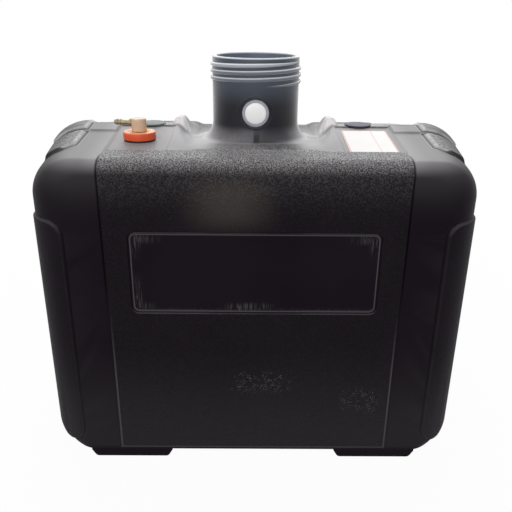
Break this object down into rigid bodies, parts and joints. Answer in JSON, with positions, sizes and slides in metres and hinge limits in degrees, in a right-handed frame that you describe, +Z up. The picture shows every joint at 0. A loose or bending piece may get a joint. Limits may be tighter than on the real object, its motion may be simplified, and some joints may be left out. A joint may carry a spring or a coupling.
{
  "type": "portable fuel tank",
  "caption": "Black plastic fuel tank on moulded feet, with a wide threaded filler neck, a plugged side port and a swivel hose outlet with a barb.",
  "frame": {"origin": "on the floor, under the filler neck's axis, in the plane of the seam between the half shells", "axes": "+X to the right side seen from the front, +Y to the back, +Z up"},
  "size_m": [0.4506, 0.2556, 0.4156],
  "materials": {
    "tank_plastic": "satin moulded polyethylene, with a fine grain on the front band",
    "neck_plastic": "satin, slate tinted",
    "grey_rubber": "matt grey rubber",
    "white_plastic": "smooth white",
    "label_film": "blank white film with a thin red border",
    "natural_plastic": "natural, slightly translucent nylon",
    "black_rubber": "matt black rubber",
    "orange_plastic": "satin orange",
    "barb_brass": "turned brass",
    "ring_steel": "spring steel",
    "plug_plastic": "smooth black"
  },
  "bodies": {
    "tank": {"front_half_shell": "tank_plastic", "rear_half_shell": "tank_plastic", "filler_neck": "neck_plastic", "neck_port_grommet": "grey_rubber", "blank_label": "label_film", "outlet_bulkhead": "natural_plastic", "outlet_gasket": "black_rubber", "pickup_tube": "natural_plastic", "pickup_strainer_cage": "natural_plastic", "pickup_strainer_mesh": "white_plastic", "left_port_seal": "black_rubber", "right_port_seal": "black_rubber"},
    "outlet_nut": {"outlet_nut": "orange_plastic"},
    "elbow": {"elbow_body": "natural_plastic", "hose_barb": "barb_brass", "elbow_o_ring": "black_rubber", "elbow_retaining_ring": "ring_steel"},
    "neck_port_plug": {"neck_port_plug": "white_plastic"},
    "left_port_plug": {"left_port_plug": "plug_plastic"},
    "right_port_plug": {"right_port_plug": "plug_plastic"}
  },
  "joints": [
    {"name": "elbow_swivel", "type": "hinge", "parent": "tank", "child": "elbow", "pos_m": [-0.117, -0.05, 0.35], "axis": [0, 0, 1], "continuous": true},
    {"name": "outlet_nut_turn", "type": "hinge", "parent": "tank", "child": "outlet_nut", "pos_m": [-0.117, -0.05, 0.34], "axis": [0, 0, 1], "continuous": true},
    {"name": "neck_port_plug_pull", "type": "slide", "parent": "tank", "child": "neck_port_plug", "axis": [0, -1, 0], "range_m": [0, 0.009]},
    {"name": "left_port_plug_pull", "type": "slide", "parent": "tank", "child": "left_port_plug", "axis": [0, 0, 1], "range_m": [0, 0.014]},
    {"name": "right_port_plug_pull", "type": "slide", "parent": "tank", "child": "right_port_plug", "axis": [0, 0, 1], "range_m": [0, 0.014]}
  ]
}
